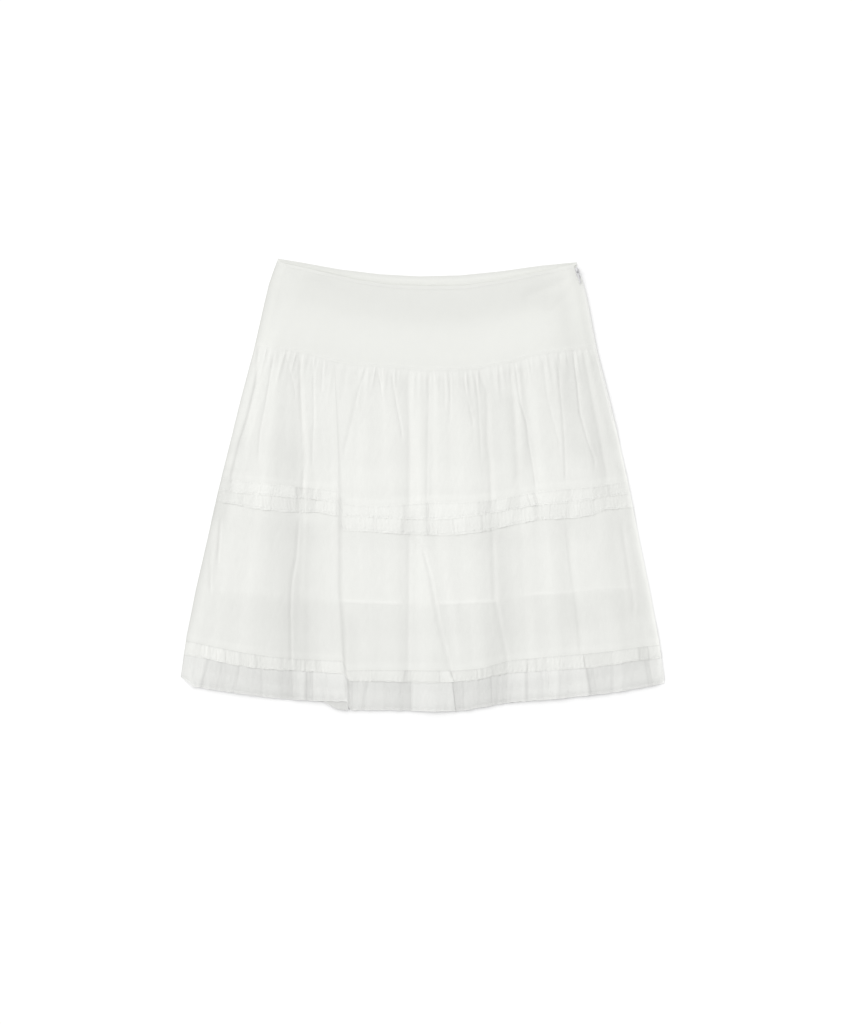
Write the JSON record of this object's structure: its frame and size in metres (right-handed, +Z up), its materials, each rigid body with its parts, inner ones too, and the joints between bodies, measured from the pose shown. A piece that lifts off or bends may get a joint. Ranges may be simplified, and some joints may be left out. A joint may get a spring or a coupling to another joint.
{
  "type": "tiered ruffle skirt",
  "caption": "Short A-line skirt laid flat: plain yoke, gathered tiers, double frill band, frilled hem ruffle and a side zip.",
  "frame": {"origin": "on the surface the skirt lies on, under the middle of its outline", "axes": "+X to the right of the front as seen from above, +Y from the hem towards the waist, +Z up out of the front"},
  "size_m": [0.5664, 0.5302, 0.0155],
  "materials": {
    "yoke_cotton": "smooth white cotton, close plain weave",
    "tier_cotton": "light white cotton voile, gathered",
    "frill_cotton": "sheer white cotton voile, crumpled",
    "lining_cotton": "plain white cotton lining",
    "zip_tape": "woven white zip tape and coil",
    "zip_metal": "small silver slider and pull tab"
  },
  "bodies": {
    "skirt": {"yoke_front": "yoke_cotton", "yoke_back": "yoke_cotton", "upper_tier_front": "tier_cotton", "upper_tier_back": "tier_cotton", "lower_tier_front": "tier_cotton", "lower_tier_back": "tier_cotton", "band_frill_upper_front": "frill_cotton", "band_frill_lower_front": "frill_cotton", "band_frill_upper_back": "frill_cotton", "band_frill_lower_back": "frill_cotton", "hem_frill_front": "frill_cotton", "hem_frill_back": "frill_cotton", "hem_ruffle_front": "frill_cotton", "hem_ruffle_back": "frill_cotton", "lining_front": "lining_cotton", "lining_back": "lining_cotton", "zip_tape": "zip_tape", "zip_slider": "zip_metal"},
    "pull_tab": {"zip_pull": "zip_metal"}
  },
  "joints": [
    {"name": "pull_tab_hinge", "type": "hinge", "parent": "skirt", "child": "pull_tab", "pos_m": [0.1814, 0.251, 0.0051], "axis": [-0.9703, -0.2419, 0], "range_deg": [0, 165]}
  ]
}
